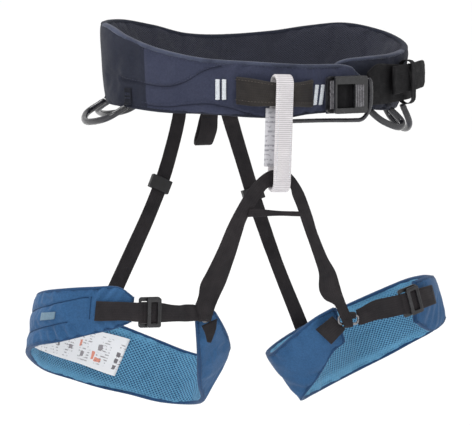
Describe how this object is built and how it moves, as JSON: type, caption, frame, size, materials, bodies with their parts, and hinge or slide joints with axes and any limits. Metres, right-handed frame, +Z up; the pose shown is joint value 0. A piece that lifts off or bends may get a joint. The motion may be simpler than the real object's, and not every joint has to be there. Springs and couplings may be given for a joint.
{
  "type": "climbing harness",
  "caption": "Padded climbing harness: waist belt with buckle, tie-in strip and gear loops, belay loop, leg bridge and two leg loops on rear risers.",
  "frame": {"origin": "inside the waist ring, on the harness's middle plane, at the height of the front webbing", "axes": "+Z up along the wearer's spine, -Y the way the wearer faces, +X the wearer's left"},
  "size_m": [0.4333, 0.2095, 0.3599],
  "materials": {
    "belt_cloth": "matt woven nylon",
    "belt_lining": "matt knitted mesh",
    "edge_binding": "matt tape",
    "leg_binding": "matt tape",
    "foam": "closed-cell foam",
    "leg_cloth": "matt woven nylon",
    "leg_mesh": "open knitted mesh",
    "belay_webbing": "ribbed webbing",
    "label": "printed satin",
    "tag": "woven tag",
    "white_thread": "bar-tack stitching",
    "tie_in_webbing": "matt webbing",
    "tube_plastic": "satin",
    "buckle_metal": "satin black",
    "ring_steel": "satin",
    "black_plastic": "matt",
    "black_webbing": "ribbed webbing"
  },
  "bodies": {
    "waist": {"back_tabs": "black_webbing", "belt_binding_bottom": "edge_binding", "belt_binding_top": "edge_binding", "belt_foam": "foam", "belt_liner": "belt_lining", "belt_shell": "belt_cloth", "buckle_backing": "belt_cloth", "buckle_edge_tube": "tube_plastic", "buckle_webbing": "black_webbing", "front_bartacks": "white_thread", "gear_loop_tabs": "black_webbing", "strap_keeper": "black_webbing", "tie_in_strip": "tie_in_webbing", "waist_buckle_frame": "buckle_metal", "waist_strap": "black_webbing", "waist_strap_tail": "black_webbing"},
    "waist_buckle": {"waist_buckle_slider": "buckle_metal"},
    "belay": {"belay_loop": "belay_webbing", "belay_label": "label"},
    "bridge": {"bridge_strap": "black_webbing", "bridge_crosspiece": "black_webbing", "ring_right": "ring_steel", "ring_left": "ring_steel"},
    "leg_right": {"care_label": "label", "leg_right_anchor_strap": "black_webbing", "leg_right_binding_bottom": "leg_binding", "leg_right_binding_top": "leg_binding", "leg_right_buckle_frame": "buckle_metal", "leg_right_buckle_webbing": "black_webbing", "leg_right_foam": "foam", "leg_right_front_strap": "black_webbing", "leg_right_mesh": "leg_mesh", "leg_right_ring_tab": "black_webbing", "leg_right_shell": "leg_cloth", "leg_right_tag": "tag"},
    "leg_left": {"leg_left_anchor_strap": "black_webbing", "leg_left_binding_bottom": "leg_binding", "leg_left_binding_top": "leg_binding", "leg_left_buckle_frame": "buckle_metal", "leg_left_buckle_webbing": "black_webbing", "leg_left_foam": "foam", "leg_left_front_strap": "black_webbing", "leg_left_mesh": "leg_mesh", "leg_left_ring_tab": "black_webbing", "leg_left_shell": "leg_cloth"},
    "leg_right_buckle": {"leg_right_buckle_slider": "buckle_metal"},
    "leg_left_buckle": {"leg_left_buckle_slider": "buckle_metal"},
    "riser_right": {"riser_right_strap": "black_webbing"},
    "riser_left": {"riser_left_strap": "black_webbing"},
    "riser_right_adjuster": {"riser_right_adjuster": "black_plastic"},
    "riser_left_adjuster": {"riser_left_adjuster": "black_plastic"},
    "haul": {"haul_loop": "black_webbing"},
    "gear_loop_front_right": {"gear_loop_front_right": "tube_plastic"},
    "gear_loop_rear_right": {"gear_loop_rear_right": "tube_plastic"},
    "gear_loop_front_left": {"gear_loop_front_left": "tube_plastic"},
    "gear_loop_rear_left": {"gear_loop_rear_left": "tube_plastic"}
  },
  "joints": [
    {"name": "belay_swing", "type": "hinge", "parent": "waist", "child": "belay", "pos_m": [-0.0052, -0.1056, 0.007], "axis": [-1, 0, 0], "range_deg": [0, 15]},
    {"name": "bridge_swing", "type": "hinge", "parent": "belay", "child": "bridge", "pos_m": [-0.0082, -0.1028, -0.084], "axis": [-1, 0, 0], "range_deg": [-15.5, 0.5]},
    {"name": "riser_right_swing", "type": "hinge", "parent": "waist", "child": "riser_right", "pos_m": [-0.0295, 0.092, -0.028], "axis": [-1, 0, 0], "range_deg": [-0.5, 7.5]},
    {"name": "riser_left_swing", "type": "hinge", "parent": "waist", "child": "riser_left", "pos_m": [0.021, 0.092, -0.028], "axis": [-1, 0, 0], "range_deg": [-0.5, 7.5]},
    {"name": "leg_right_rock", "type": "hinge", "parent": "bridge", "child": "leg_right", "pos_m": [-0.0725, -0.082, -0.1955], "axis": [-0.2977, 0.9422, -0.1538], "range_deg": [-8, 8], "stiffness_Nm_per_rad": 0.6},
    {"name": "leg_left_rock", "type": "hinge", "parent": "bridge", "child": "leg_left", "pos_m": [0.0701, -0.081, -0.2112], "axis": [0.0875, 0.9779, -0.1897], "range_deg": [-8, 8], "stiffness_Nm_per_rad": 0.6},
    {"name": "waist_buckle_tilt", "type": "hinge", "parent": "waist", "child": "waist_buckle", "pos_m": [0.07605, -0.09656, -0.0045], "axis": [0, 0, 1], "range_deg": [0, 25]},
    {"name": "leg_right_buckle_tilt", "type": "hinge", "parent": "leg_right", "child": "leg_right_buckle", "pos_m": [-0.1205, -0.1028, -0.1913], "axis": [0.03, 0, 0.9996], "range_deg": [0, 25]},
    {"name": "leg_left_buckle_tilt", "type": "hinge", "parent": "leg_left", "child": "leg_left_buckle", "pos_m": [0.13935, -0.0883, -0.1939], "axis": [-0.2866, -0.0172, 0.9579], "range_deg": [0, 25]},
    {"name": "riser_right_adjust", "type": "slide", "parent": "riser_right", "child": "riser_right_adjuster", "axis": [-0.4206, -0.1346, -0.8972], "range_m": [-0.012, 0.012]},
    {"name": "riser_left_adjust", "type": "slide", "parent": "riser_left", "child": "riser_left_adjuster", "axis": [0.2491, -0.1711, -0.9532], "range_m": [-0.012, 0.012]},
    {"name": "haul_swing", "type": "hinge", "parent": "waist", "child": "haul", "pos_m": [0.0023, 0.093, -0.0295], "axis": [1, 0, 0], "range_deg": [-20, 60]},
    {"name": "gear_front_right_lift", "type": "hinge", "parent": "waist", "child": "gear_loop_front_right", "pos_m": [-0.12481, 0.00314, -0.01422], "axis": [0.0513, 0.9984, 0.0218], "range_deg": [-8, 45], "stiffness_Nm_per_rad": 0.05},
    {"name": "gear_rear_right_lift", "type": "hinge", "parent": "waist", "child": "gear_loop_rear_right", "pos_m": [-0.09335, 0.06564, -0.01607], "axis": [0.8006, 0.5943, -0.0772], "range_deg": [-8, 45], "stiffness_Nm_per_rad": 0.05},
    {"name": "gear_front_left_lift", "type": "hinge", "parent": "waist", "child": "gear_loop_front_left", "pos_m": [0.10688, -0.06359, -0.01939], "axis": [-0.8904, -0.447, 0.0862], "range_deg": [-8, 45], "stiffness_Nm_per_rad": 0.05},
    {"name": "gear_rear_left_lift", "type": "hinge", "parent": "waist", "child": "gear_loop_rear_left", "pos_m": [0.152, 0.00239, -0.01715], "axis": [0.0259, -0.9952, -0.0944], "range_deg": [-8, 45], "stiffness_Nm_per_rad": 0.05}
  ],
  "couplings": [
    {"joint": "bridge_swing", "follows": "belay_swing", "ratio": -1},
    {"joint": "riser_right_swing", "follows": "belay_swing", "ratio": 0.463},
    {"joint": "riser_left_swing", "follows": "belay_swing", "ratio": 0.43}
  ]
}
